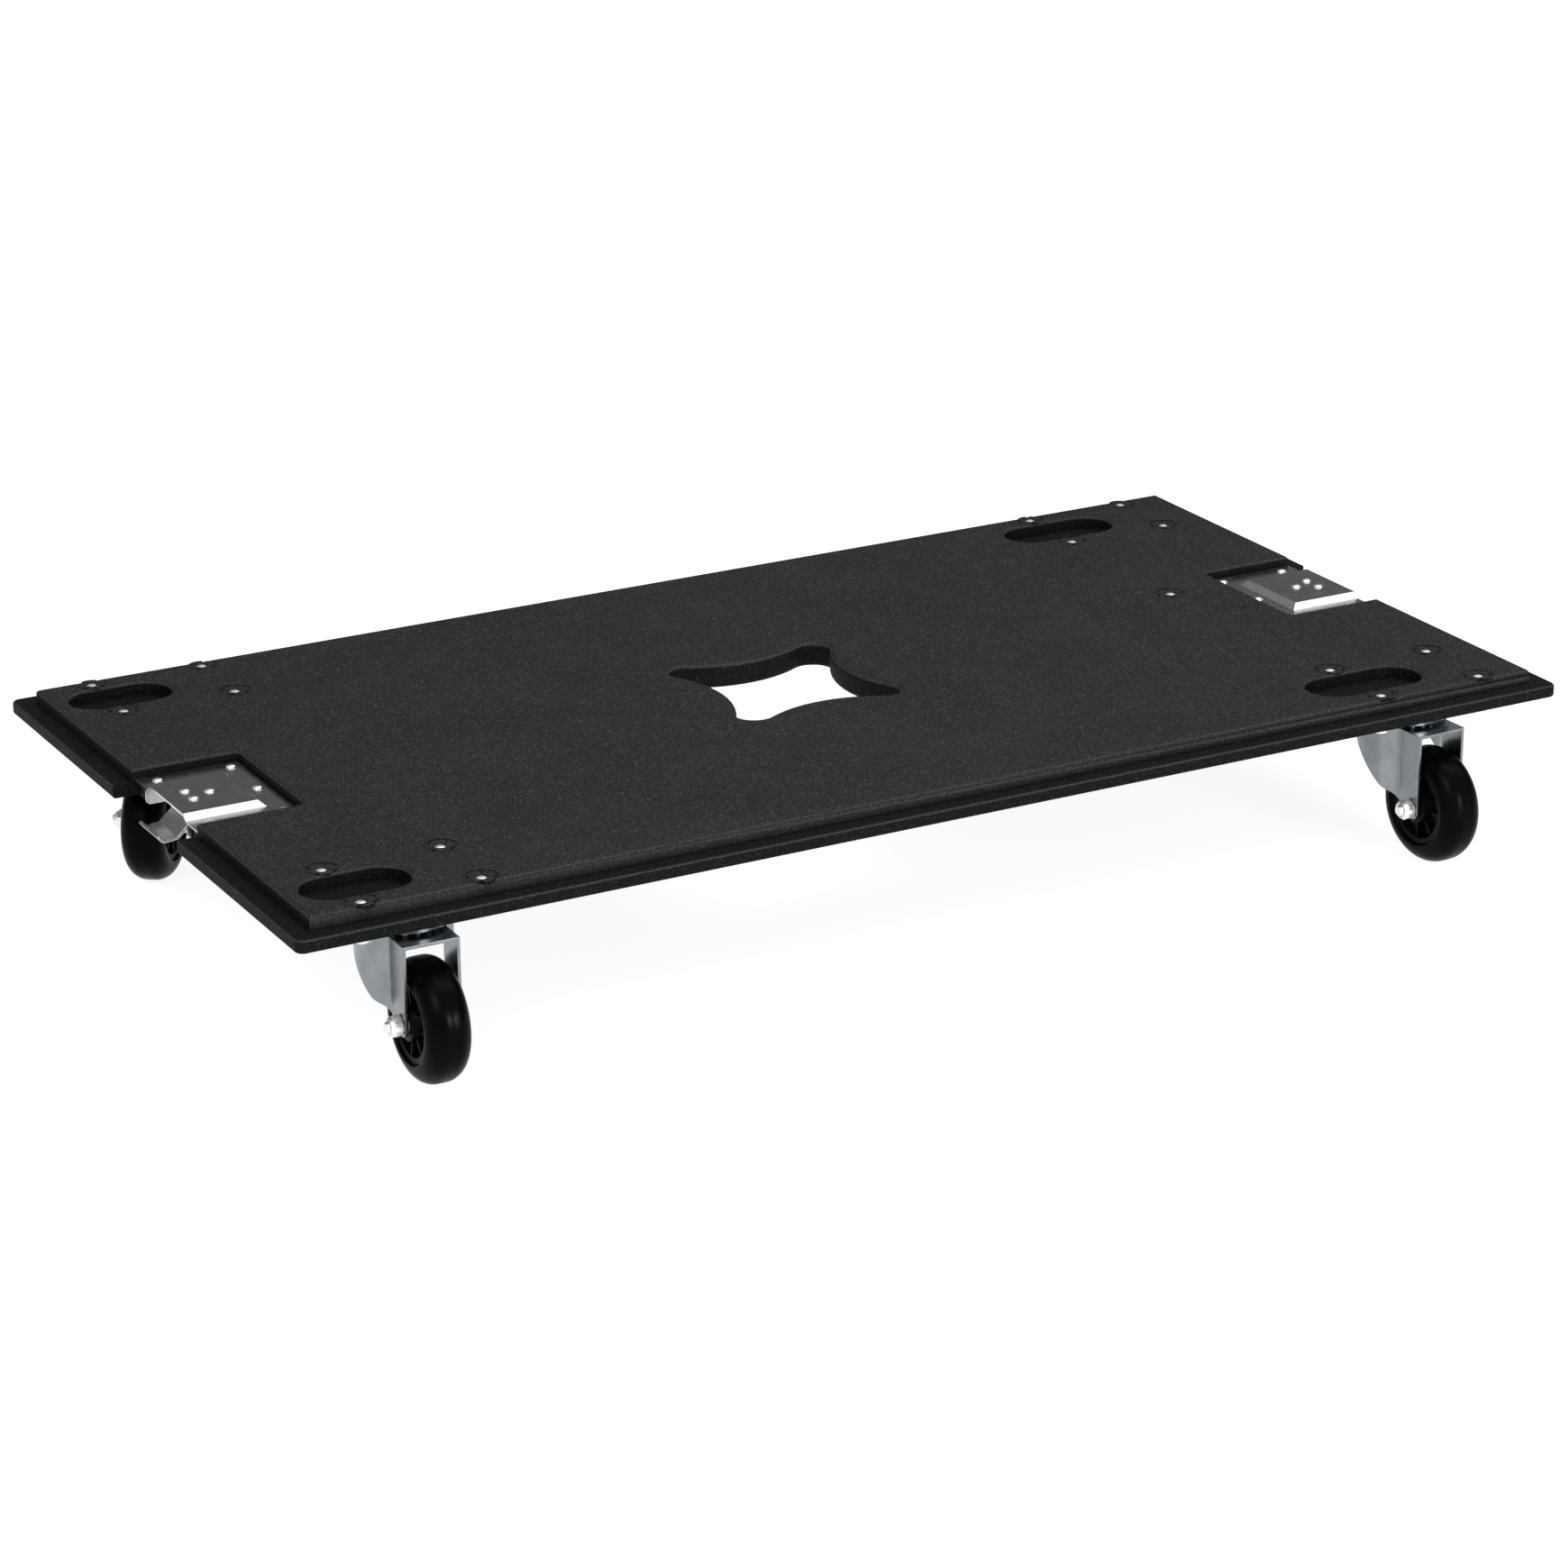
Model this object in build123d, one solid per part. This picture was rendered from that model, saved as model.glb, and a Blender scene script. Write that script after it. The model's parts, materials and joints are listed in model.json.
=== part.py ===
from build123d import *
import math
import os

# Furniture dolly: a rebated plywood board on four swivel casters, with a latch keeper at each end.
# Millimetres. X runs along the board, Z is up, and the origin is on the floor under the board's centre.

# ---- board ----
board_length = 928.0
board_width = 498.0
board_thickness = 18.0
board_corner = 6.0
rebate_width = 14.0
lip_thickness = 9.0
top_arris = 3.0
lip_arris = 2.0

# hand hole through the middle: four round lobes joined by sides that bow inwards
hand_hole_reach = 61.0
hand_hole_waist = 47.5
hand_hole_lobe = 12.0
hand_hole_arris = 4.0

# ---- caster layout ----
caster_inset_x = 91.0
caster_inset_y = 52.0
pattern_x = 80.0
pattern_y = 60.0
headings = {"front_left": -91.0, "front_right": -87.5, "rear_left": -128.0, "rear_right": 87.5}

# ---- stacking pockets, one beside each caster's kingpin ----
pocket_nut_gap = 0.5
pocket_depth = 9.5
pocket_arris = 3.0
pocket_length = {"left": 71.5, "right": 87.0}
pocket_offset = {"left": -30.7, "right": -33.5}

# ---- latch keeper seats at the board's ends ----
seat_length = 87.5
seat_half_width = 56.0
seat_depth = 8.0
seat_corner = 5.0
window_margin = 20.5
window_half_width = 38.0
mouth_length = 18.0

# ---- latch keeper plate and hook ----
keeper_sheet = 1.5
keeper_gap = 1.5
keeper_half_width = 54.0
cover_rise = 4.0
cover_half_width = 30.0
cover_slope = 6.0
cover_inset = 21.5
keeper_end_inset = 15.0
cheek_drop = board_thickness - seat_depth
hook_sheet = 2.0
hook_half_width = 16.0
hook_root = 36.0
hook_bend = 10.5
hook_drop = 20.0
hook_overhang = -1.5
hook_curl = 4.0
rivet_shank = 4.0
rivet_head = 7.5
rivet_tail = 6.0
rivet_rise = 1.8
flange_rivet_inset = 8.0
flange_rivet_margin = 9.0
flange_rivet_end = 12.0
hook_rivet_inset = 16.0
hook_rivet_step = 14.0
hook_rivet_half_pitch = 7.5

# ---- swivel caster ----
caster_trail = 35.5
plate_margin = 12.5
plate_thickness = 2.5
plate_corner = 8.0
race_boss_radius = 32.0
race_boss_wall = 20.0
crown_radius = 31.0
crown_drop = 12.5
fork_sheet = 2.2
leg_front = 8.0
leg_below_axle = 7.0
leg_foot_round = 5.5
leg_flat = 19.0
flare_half_width = 28.5
upper_ball_pitch = 22.0
upper_ball = 4.8
upper_ball_count = 18
upper_race_gap = upper_ball / 2
lower_ball_pitch = 14.5
lower_ball = 4.0
lower_ball_count = 14
lower_race_gap = lower_ball / 2
lower_race_diameter = 39.0
lower_race_thickness = 3.0
ball_clearance = 0.1
kingpin_diameter = 12.0
kingpin_head_diameter = kingpin_diameter + 6.0
kingpin_head = 3.0
kingpin_clearance = 0.05
kingpin_headroom = 3.3

# ---- wheel and axle ----
wheel_diameter = 80.0
wheel_width = 30.0
wheel_gap = 1.8
tread_flat = 5.0
hub_diameter = 52.0
hub_inset = 2.0
hub_rim = 4.0
hub_dish = 5.0
hub_boss_diameter = 22.0
hub_boss_proud = 0.5
axle_diameter = 8.0
sleeve_diameter = 12.0
sleeve_clearance = 0.05
axle_clearance = 0.1
axle_overhang = 2.0

# ---- fasteners, sized about an M8 bolt ----
bolt_diameter = 8.0
bolt_clearance = 0.05
bolt_hole = bolt_diameter + 1.0
hex_across_flats = bolt_diameter + 5.0
bolt_head = 4.4
lock_nut = 8.0
washer_diameter = 2 * bolt_diameter
washer_thickness = 1.2
nut_flange_diameter = bolt_diameter + 11.0
nut_flange = 1.5
nut_barrel_diameter = bolt_diameter + 2.0
nut_barrel = 12.0
nut_recess_diameter = nut_flange_diameter + 3.0
nut_recess = 0.5
nut_sink = 0.1
bolt_end_sink = 0.3
spare_bolt_inset = 47.5
spare_bolt_y = 26.7

# ---- levels and places worked out from the sizes above ----
crown_stack = crown_drop + fork_sheet + lower_race_gap + lower_race_thickness
underside = wheel_diameter + kingpin_headroom + kingpin_head + crown_stack
deck_top = underside + board_thickness
lip_top = underside + lip_thickness
half_length = board_length / 2
half_width = board_width / 2
core_half_length = half_length - rebate_width
core_half_width = half_width - rebate_width
caster_x = half_length - caster_inset_x
caster_y = half_width - caster_inset_y
pocket_width = pattern_y - nut_flange_diameter - 2 * pocket_nut_gap
plate_length = pattern_x + 2 * plate_margin
plate_width = pattern_y + 2 * plate_margin
plate_underside = underside - plate_thickness
crown_top = underside - crown_drop
crown_underside = crown_top - fork_sheet
wheel_radius = wheel_diameter / 2
axle_z = wheel_radius
leg_half_width = wheel_width / 2 + wheel_gap + fork_sheet
axle_end = leg_half_width + lock_nut + axle_overhang
upper_ball_z = crown_top + upper_race_gap / 2
lower_ball_z = crown_underside - lower_race_gap / 2
lower_race_top = crown_underside - lower_race_gap
lower_race_bottom = lower_race_top - lower_race_thickness
seat_z = deck_top - seat_depth
seat_inner_x = core_half_length - (seat_length - rebate_width)
spare_bolt_x = seat_inner_x - spare_bolt_inset
window_inner_x = seat_inner_x + window_margin
mouth_inner_x = half_length - mouth_length
flange_top = seat_z + keeper_sheet
cover_top = flange_top + cover_rise
keeper_inner_x = seat_inner_x + keeper_gap
keeper_outer_x = half_length - keeper_end_inset
cover_inner_x = seat_inner_x + cover_inset

casters = {
    "front_left": (-caster_x, -caster_y),
    "front_right": (caster_x, -caster_y),
    "rear_left": (-caster_x, caster_y),
    "rear_right": (caster_x, caster_y),
}
BOTTOM = (Align.CENTER, Align.CENTER, Align.MIN)


def raise_face(face, low, high):
    """A flat outline made into a solid between two levels."""
    return Pos(0, 0, low) * extrude(face, high - low, dir=(0, 0, 1))


def disc(radius, low, high, x=0.0, y=0.0):
    """A vertical cylinder between two levels."""
    return Pos(x, y, low) * Cylinder(radius, high - low, align=BOTTOM)


def tube(outer, inner, low, high):
    """A vertical tube between two levels."""
    return disc(outer, low, high) - disc(inner, low, high)


def block(x_range, y_range, z_range):
    """A box given by its three ranges."""
    sizes = [high - low for low, high in (x_range, y_range, z_range)]
    middle = [(low + high) / 2 for low, high in (x_range, y_range, z_range)]
    return Pos(*middle) * Box(*sizes)


def hexagon(across_flats, low, high, x=0.0, y=0.0):
    """A vertical hexagonal prism between two levels."""
    outline = RegularPolygon(across_flats / 2, 6, major_radius=False)
    return raise_face(Pos(x, y) * outline, low, high)


def turned(points):
    """A ring turned about Z from its section in X and Z."""
    section = make_face(Plane.XZ * Polyline(*points, close=True))
    return revolve(section, Axis.Z)


def groove(pitch, ball, z):
    """The torus that a ring of balls of this size runs in."""
    return Pos(0, 0, z) * Torus(pitch, ball / 2)


def solids(pieces):
    """Separate solids kept side by side in one node."""
    return Compound(children=[solid for piece in pieces for solid in piece.solids()])


def bolt_places():
    """The four holes of one caster's bolt pattern, about its kingpin."""
    return [(x, y) for x in (-pattern_x / 2, pattern_x / 2) for y in (-pattern_y / 2, pattern_y / 2)]


def all_bolt_places():
    """Every caster bolt, in the board's frame."""
    return [(cx + x, cy + y) for cx, cy in casters.values() for x, y in bolt_places()]


# ---- board ----
def hand_hole_outline():
    """Four lobes, each tangent to the circles that make the bowed sides."""
    lobe = hand_hole_reach - hand_hole_lobe
    step = lobe - hand_hole_waist
    bow = (lobe**2 + step**2 - hand_hole_lobe**2) / (2 * (hand_hole_lobe + step))
    reach = bow + hand_hole_lobe
    along = (hand_hole_waist + bow - lobe) / reach * hand_hole_lobe
    across = lobe / reach * hand_hole_lobe
    diagonal = lobe + hand_hole_lobe * math.cos(math.pi / 4)
    edges = []
    for quarter in range(4):
        turn = Rot(0, 0, 90 * quarter)
        low = (lobe + along, -(lobe - across))
        high = (lobe + along, lobe - across)
        after = (lobe - across, lobe + along)
        edges.append(turn * ThreePointArc(low, (hand_hole_waist, 0), high))
        edges.append(turn * ThreePointArc(high, (diagonal, diagonal), after))
    return make_face(Wire(edges))


def rim(shape, z, outline_box):
    """The edges at level z whose middles lie within a box in X and Y."""
    (x0, x1), (y0, y1) = outline_box
    level = shape.edges().filter_by_position(Axis.Z, z - 0.01, z + 0.01)
    return level.filter_by_position(Axis.X, x0, x1).filter_by_position(Axis.Y, y0, y1)


def pocket_places():
    """Centre and length of each stacking pocket."""
    for name, (x, y) in casters.items():
        side = "left" if name.endswith("left") else "right"
        yield x + pocket_offset[side], y, pocket_length[side]


def deck_board():
    board = raise_face(RectangleRounded(board_length, board_width, board_corner), underside, lip_top)
    board += raise_face(Rectangle(2 * core_half_length, 2 * core_half_width), underside, deck_top)
    for turn in (0, 180):
        seat_size = seat_length + seat_corner
        seat = RectangleRounded(seat_size, 2 * seat_half_width, seat_corner)
        seat = Pos(seat_inner_x + seat_size / 2, 0) * seat
        board -= Rot(0, 0, turn) * raise_face(seat, seat_z, deck_top)
        through = (underside, deck_top)
        window = block((window_inner_x, half_length), (-window_half_width, window_half_width), through)
        mouth = block((mouth_inner_x, half_length), (-seat_half_width, seat_half_width), through)
        board -= Rot(0, 0, turn) * (window + mouth)
        for x, y in flange_rivet_places():
            board -= Rot(0, 0, turn) * disc(rivet_shank / 2, underside, seat_z, x, y)
    whole = ((-half_length, half_length), (-half_width, half_width))
    board = fillet(rim(board, deck_top, whole), top_arris)
    for z in (lip_top, underside):
        outer = [
            edge
            for edge in rim(board, z, whole)
            if abs(edge.center().X) > half_length - board_corner / 2
            or abs(edge.center().Y) > half_width - board_corner / 2
        ]
        board = fillet(outer, lip_arris)
    board -= raise_face(hand_hole_outline(), underside, deck_top)
    inner = ((-hand_hole_reach, hand_hole_reach), (-hand_hole_reach, hand_hole_reach))
    for z in (deck_top, underside):
        board = fillet(rim(board, z, inner), hand_hole_arris)
    for x, y, length in pocket_places():
        outline = Pos(x, y) * SlotOverall(length, pocket_width)
        board -= raise_face(outline, deck_top - pocket_depth, deck_top)
        around = ((x - length / 2, x + length / 2), (y - pocket_width / 2, y + pocket_width / 2))
        board = fillet(rim(board, deck_top, around), pocket_arris)
    for x, y in all_bolt_places() + [(spare_bolt_x, spare_bolt_y)]:
        board -= disc(nut_recess_diameter / 2, deck_top - nut_recess, deck_top, x, y)
        flange_seat = deck_top - nut_sink - nut_flange
        board -= disc(nut_flange_diameter / 2 + bolt_clearance, flange_seat, deck_top, x, y)
        board -= disc(nut_barrel_diameter / 2, flange_seat - nut_barrel, deck_top, x, y)
        board -= disc(bolt_hole / 2, underside, deck_top, x, y)
    return board


# ---- board fasteners ----
def tee_nut(x, y):
    top = deck_top - nut_sink
    nut = disc(nut_flange_diameter / 2, top - nut_flange, top)
    nut += disc(nut_barrel_diameter / 2, top - nut_flange - nut_barrel, top)
    bore = disc(bolt_diameter / 2, top - nut_flange - nut_barrel, top)
    return Pos(x, y, 0) * (nut - bore)


def board_bolt(x, y, seat):
    """A bolt from below, its washer's underside at the given level."""
    bolt = hexagon(hex_across_flats, seat - bolt_head, seat, x, y)
    shank = disc(bolt_diameter / 2 - bolt_clearance, seat, deck_top - bolt_end_sink, x, y)
    return bolt + shank


def washer(x, y, low):
    ring = tube(washer_diameter / 2, bolt_diameter / 2, low, low + washer_thickness)
    return Pos(x, y, 0) * ring


# ---- latch keeper, made at the right end ----
def rivet(x, y, low, high):
    """A rivet through a joint, domed on top and flat below."""
    dome_base = (rivet_head / 2) ** 2
    dome_radius = (dome_base + rivet_rise**2) / (2 * rivet_rise)
    ball = Pos(x, y, high + rivet_rise - dome_radius) * Sphere(dome_radius)
    head = ball & disc(rivet_head / 2, high, high + rivet_rise, x, y)
    tail = disc(rivet_tail / 2, low - rivet_rise / 2, low, x, y)
    return head + disc(rivet_shank / 2, low, high, x, y) + tail


def flange_rivet_places():
    inner = keeper_inner_x + flange_rivet_inset
    outer = keeper_outer_x - flange_rivet_end
    side = keeper_half_width - flange_rivet_margin
    return [(outer, -side), (outer, side), (inner, -side), (inner, side), (inner, 0.0)]


def hook_rivet_places():
    outer = keeper_outer_x - hook_rivet_inset
    pair = [(outer, -hook_rivet_half_pitch), (outer, hook_rivet_half_pitch)]
    return pair + [(outer - hook_rivet_step, 0.0)]


def raised(offset):
    """The cover's sloped pan, its faces moved in by an offset for the sheet's inner side."""
    low = flange_top - keeper_sheet
    top = cover_top - offset
    rise = top - low
    slope = cover_slope * rise / (cover_rise + keeper_sheet - offset)
    x0 = cover_inner_x - cover_slope + offset
    y0 = cover_half_width + cover_slope - offset
    reach = keeper_outer_x + cover_slope
    base = Pos((x0 + reach) / 2, 0, low) * Rectangle(reach - x0, 2 * y0)
    crest = Pos((x0 + slope + reach) / 2, 0, top) * Rectangle(reach - x0 - slope, 2 * (y0 - slope))
    return loft([base, crest])


def keeper_plate():
    flange = block(
        (keeper_inner_x, keeper_outer_x),
        (-keeper_half_width, keeper_half_width),
        (seat_z, flange_top),
    )
    flange = fillet(flange.edges().filter_by(Axis.Z).sort_by(Axis.X)[:2], seat_corner - keeper_gap)
    plate = flange + raised(0.0) - raised(keeper_sheet)
    cheek_y = window_half_width - keeper_gap
    for side in (-1, 1):
        faces = sorted((side * cheek_y, side * (cheek_y - keeper_sheet)))
        cheek = block((window_inner_x + keeper_gap, keeper_outer_x), faces, (seat_z - cheek_drop, flange_top))
        corner = cheek.edges().filter_by(Axis.Y).sort_by(Axis.Z)[:2]
        plate += fillet(corner, cheek_drop / 3)
    beyond = block(
        (keeper_outer_x, keeper_outer_x + 2 * cover_slope),
        (-keeper_half_width, keeper_half_width),
        (seat_z - cheek_drop, cover_top),
    )
    plate -= beyond
    for x, y in flange_rivet_places() + hook_rivet_places():
        plate -= disc(rivet_shank / 2, seat_z - cheek_drop, cover_top, x, y)
    return plate


def keeper_hook():
    """A tongue under the cover that slopes out past the board's edge and curls up at its tip."""
    top = cover_top - keeper_sheet
    root = keeper_outer_x - hook_root
    tip = half_length + hook_overhang - hook_sheet
    shoulder = keeper_outer_x - hook_bend
    points = [
        (root, top),
        (shoulder, top),
        (shoulder + 1.0, top - 0.55 * hook_drop),
        (shoulder + 10.0, top - 0.95 * hook_drop),
        (tip - 3.0, top - hook_drop),
        (tip, top - hook_drop + hook_curl),
    ]
    line = FilletPolyline(*points, radius=2.2)
    strip = offset(Plane.XZ * line, amount=hook_sheet, side=Side.RIGHT)
    section = make_face(strip)
    hook = extrude(section, hook_half_width, both=True)
    for x, y in hook_rivet_places():
        hook -= disc(rivet_shank / 2, top - hook_drop, cover_top, x, y)
    return hook


# ---- caster, made about its kingpin with the wheel trailing to +X and the axle's nut on -Y ----
def caster_plate():
    plate = raise_face(RectangleRounded(plate_length, plate_width, plate_corner), plate_underside, underside)
    boss_bottom = crown_top + upper_race_gap
    plate += tube(race_boss_radius, race_boss_radius - race_boss_wall, boss_bottom, plate_underside)
    plate -= groove(upper_ball_pitch, upper_ball + 2 * ball_clearance, upper_ball_z)
    plate -= disc(kingpin_diameter / 2, plate_underside, underside)
    for x, y in bolt_places():
        plate -= disc(bolt_hole / 2, plate_underside, underside, x, y)
    return plate


def kingpin():
    pin = disc(kingpin_diameter / 2, lower_race_bottom, underside)
    head = disc(kingpin_head_diameter / 2, lower_race_bottom - kingpin_head, lower_race_bottom)
    head = chamfer(head.edges().sort_by(Axis.Z)[0], kingpin_head / 3)
    return pin + head


def lower_race():
    race = tube(lower_race_diameter / 2, kingpin_diameter / 2, lower_race_bottom, lower_race_top)
    race = chamfer(race.edges().sort_by(Axis.Z)[0], lower_race_thickness / 3)
    return race - groove(lower_ball_pitch, lower_ball + 2 * ball_clearance, lower_ball_z)


def ball_ring(pitch, ball, z, count):
    for index in range(count):
        yield Rot(0, 0, 360 * index / count) * Pos(pitch, 0, z) * Sphere(ball / 2)


def swivel_balls():
    upper = ball_ring(upper_ball_pitch, upper_ball, upper_ball_z, upper_ball_count)
    lower = ball_ring(lower_ball_pitch, lower_ball, lower_ball_z, lower_ball_count)
    return solids([*upper, *lower])


def fork_outline(inset, front):
    """Plan of the fork moved in by an inset: flat legs, a flare, and the round back."""
    flat_end = caster_trail + leg_front - leg_flat
    leg = leg_half_width - inset
    radius = crown_radius - inset
    flare_y = flare_half_width - inset
    flare_x = math.sqrt(radius**2 - flare_y**2)
    back = ThreePointArc((flare_x, flare_y), (-radius, 0), (flare_x, -flare_y))
    edges = [back, Line((front, -leg), (front, leg))]
    for side in (1, -1):
        flare = Spline(
            (flat_end, side * leg),
            (flare_x, side * flare_y),
            tangents=[(-1, 0), (-flare_y / radius, side * flare_x / radius)],
        )
        edges += [Line((front, side * leg), (flat_end, side * leg)), flare]
    return make_face(Wire(edges))


def fork():
    foot = axle_z - leg_below_axle
    front = caster_trail + leg_front
    outline = fork_outline(0.0, front)
    inside = fork_outline(fork_sheet, front - fork_sheet)
    shell = raise_face(outline, foot, crown_top)
    hollow = raise_face(inside, foot, crown_underside)
    mouth = block(
        (caster_trail, front + 1),
        (-leg_half_width + fork_sheet, leg_half_width - fork_sheet),
        (foot, crown_underside),
    )
    body = shell - hollow - mouth
    # the rear edge sweeps down from the back of the skirt to the foot of each leg
    rear_edge = Spline(
        (-crown_radius - 1, crown_underside - 7),
        (-crown_radius / 2, crown_underside - 13),
        (0.0, crown_underside - 26),
        (caster_trail - leg_front, axle_z),
    )
    below = Polyline(
        (caster_trail - leg_front, axle_z),
        (caster_trail - leg_front, foot - 1),
        (-crown_radius - 1, foot - 1),
        (-crown_radius - 1, crown_underside - 7),
    )
    sweep = Plane.XZ * make_face(Wire([rear_edge, *below.edges()]))
    body -= extrude(sweep, crown_radius + 1, both=True)
    toes = body.edges().filter_by(Axis.Y).filter_by_position(Axis.Z, foot - 0.01, foot + 0.01)
    body = fillet(toes, leg_foot_round)
    body -= disc(kingpin_diameter / 2 + kingpin_clearance, crown_underside, crown_top)
    body -= groove(upper_ball_pitch, upper_ball, upper_ball_z)
    body -= groove(lower_ball_pitch, lower_ball, lower_ball_z)
    bore = Cylinder(axle_diameter / 2 + axle_clearance, 3 * leg_half_width, rotation=(90, 0, 0))
    return body - Pos(caster_trail, 0, axle_z) * bore


def on_axle(shape):
    """A piece made about Z, laid on the axle with its upper end towards the nut."""
    return Pos(caster_trail, 0, axle_z) * Rot(90, 0, 0) * shape


def axle_bolt():
    head = hexagon(hex_across_flats, -leg_half_width - bolt_head, -leg_half_width)
    shank = disc(axle_diameter / 2, -leg_half_width, axle_end)
    shank = chamfer(shank.edges().sort_by(Axis.Z)[-1], 0.8)
    return on_axle(head + shank)


def axle_nut():
    nut_end = leg_half_width + lock_nut
    flats_end = leg_half_width + lock_nut * 0.75
    nut = hexagon(hex_across_flats, leg_half_width, flats_end)
    collar = disc(hex_across_flats / 2, flats_end, nut_end)
    bore = disc(axle_diameter / 2, leg_half_width, nut_end)
    return on_axle(nut + fillet(collar.edges().sort_by(Axis.Z)[-1], 1.2) - bore)


def axle_sleeve():
    inner_face = leg_half_width - fork_sheet
    return on_axle(tube(sleeve_diameter / 2, axle_diameter / 2 + axle_clearance, -inner_face, inner_face))


def wheel_hub():
    bore = sleeve_diameter / 2 + sleeve_clearance
    boss = hub_boss_diameter / 2
    half = wheel_width / 2 + hub_boss_proud
    rim_half = wheel_width / 2 - hub_inset
    web_half = rim_half - hub_dish
    rim_inner = hub_diameter / 2 - hub_rim
    upper = [
        (bore, half),
        (boss, half),
        (boss + 1.5, web_half),
        (rim_inner - 2.0, web_half),
        (rim_inner, rim_half),
        (hub_diameter / 2, rim_half),
    ]
    lower = [(radius, -y) for radius, y in reversed(upper)]
    return on_axle(turned(upper + lower))


def tyre():
    """Rubber tyre with a crowned tread, moulded on the hub."""
    half = wheel_width / 2
    rim_half = half - hub_inset
    tread_round = half - tread_flat / 2
    shoulder = wheel_radius - tread_round
    bulge = wheel_radius - tread_round + tread_round * math.sin(math.pi / 4)
    side = half - tread_round + tread_round * math.cos(math.pi / 4)
    crown = tread_flat / 2
    edges = [
        Line((hub_diameter / 2, -rim_half), (shoulder, -half)),
        ThreePointArc((shoulder, -half), (bulge, -side), (wheel_radius, -crown)),
        Line((wheel_radius, -crown), (wheel_radius, crown)),
        ThreePointArc((wheel_radius, crown), (bulge, side), (shoulder, half)),
        Line((shoulder, half), (hub_diameter / 2, rim_half)),
        Line((hub_diameter / 2, rim_half), (hub_diameter / 2, -rim_half)),
    ]
    section = Plane.XZ * make_face(Wire(edges))
    return on_axle(revolve(section, Axis.Z))


swivel_pieces = {
    "fork": fork,
    "swivel_balls": swivel_balls,
    "axle_bolt": axle_bolt,
    "axle_nut": axle_nut,
    "axle_sleeve": axle_sleeve,
    "wheel_hub": wheel_hub,
    "tyre": tyre,
}
fixed_pieces = {"caster_plate": caster_plate, "kingpin": kingpin, "lower_race": lower_race}

nodes = {"deck_board": deck_board()}
bolt_seat = plate_underside - washer_thickness
nodes["tee_nuts"] = solids([tee_nut(x, y) for x, y in all_bolt_places() + [(spare_bolt_x, spare_bolt_y)]])
nodes["caster_bolts"] = solids([board_bolt(x, y, bolt_seat) for x, y in all_bolt_places()])
nodes["bolt_washers"] = solids([washer(x, y, bolt_seat) for x, y in all_bolt_places()])
nodes["spare_bolt"] = board_bolt(spare_bolt_x, spare_bolt_y, underside)

plate_piece = keeper_plate()
hook_piece = keeper_hook()
flange_set = solids([rivet(x, y, underside, flange_top) for x, y in flange_rivet_places()])
hook_base = cover_top - keeper_sheet - hook_sheet
hook_set = solids([rivet(x, y, hook_base, cover_top) for x, y in hook_rivet_places()])
for end, turn in (("right", 0), ("left", 180)):
    nodes[f"keeper_plate_{end}"] = Rot(0, 0, turn) * plate_piece
    nodes[f"keeper_hook_{end}"] = Rot(0, 0, turn) * hook_piece
    nodes[f"flange_rivets_{end}"] = Rot(0, 0, turn) * flange_set
    nodes[f"hook_rivets_{end}"] = Rot(0, 0, turn) * hook_set

fixed_made = {name: make() for name, make in fixed_pieces.items()}
swivel_made = {name: make() for name, make in swivel_pieces.items()}
for corner, (x, y) in casters.items():
    for name, piece in fixed_made.items():
        nodes[f"{name}_{corner}"] = Pos(x, y, 0) * piece
    for name, piece in swivel_made.items():
        nodes[f"{name}_{corner}"] = Pos(x, y, 0) * Rot(0, 0, headings[corner]) * piece

os.makedirs("parts", exist_ok=True)
for name, shape in nodes.items():
    export_step(shape, f"parts/{name}.step")
print(len(nodes), "nodes")
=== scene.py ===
# %% [markdown]
# # A furniture dolly, one piece at a time
# The real object is a plywood board with a rolled-on black coating. Four zinc-plated swivel casters
# are bolted through it, and a pressed latch keeper is let into each end. The engineering model gives
# every size and place. This lesson gives each piece the shape and the finish that the eye expects.

# %% Load the fixed model
import json
import math

import bmesh
import bpy
import numpy as np
from mathutils import Matrix, Vector


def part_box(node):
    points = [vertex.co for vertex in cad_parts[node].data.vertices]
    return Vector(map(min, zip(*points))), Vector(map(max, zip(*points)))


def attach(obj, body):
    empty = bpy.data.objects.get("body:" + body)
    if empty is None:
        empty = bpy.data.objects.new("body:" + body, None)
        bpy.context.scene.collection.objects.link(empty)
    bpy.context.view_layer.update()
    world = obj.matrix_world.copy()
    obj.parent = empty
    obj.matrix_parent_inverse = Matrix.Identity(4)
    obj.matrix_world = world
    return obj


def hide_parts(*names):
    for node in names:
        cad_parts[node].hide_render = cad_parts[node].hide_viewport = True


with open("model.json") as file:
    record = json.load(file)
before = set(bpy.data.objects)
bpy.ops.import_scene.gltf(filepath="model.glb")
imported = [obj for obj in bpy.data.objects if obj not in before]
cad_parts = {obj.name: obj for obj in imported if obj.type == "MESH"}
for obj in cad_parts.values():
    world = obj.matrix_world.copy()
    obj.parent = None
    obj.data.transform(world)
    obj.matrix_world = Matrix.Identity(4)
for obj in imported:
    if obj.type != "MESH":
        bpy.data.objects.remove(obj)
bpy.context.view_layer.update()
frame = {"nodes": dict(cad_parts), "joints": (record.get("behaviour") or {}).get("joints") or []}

MM = 0.001

# %% [markdown]
# ## Where things are
# Nothing is placed by eye. The board's box gives its levels, and the joints give each caster's
# kingpin, axle and the way it points, so every later piece is made once, beside the origin, and
# then carried to its caster by one matrix.

# %% Read the places from the model
CORNERS = ("front_left", "front_right", "rear_left", "rear_right")
joints = {joint["name"]: joint for joint in frame["joints"]}
board_low, board_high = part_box("deck_board")
deck_top = board_high.z
underside = board_low.z
axle_height = joints["wheel_front_left"]["pos_m"][2]

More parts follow.
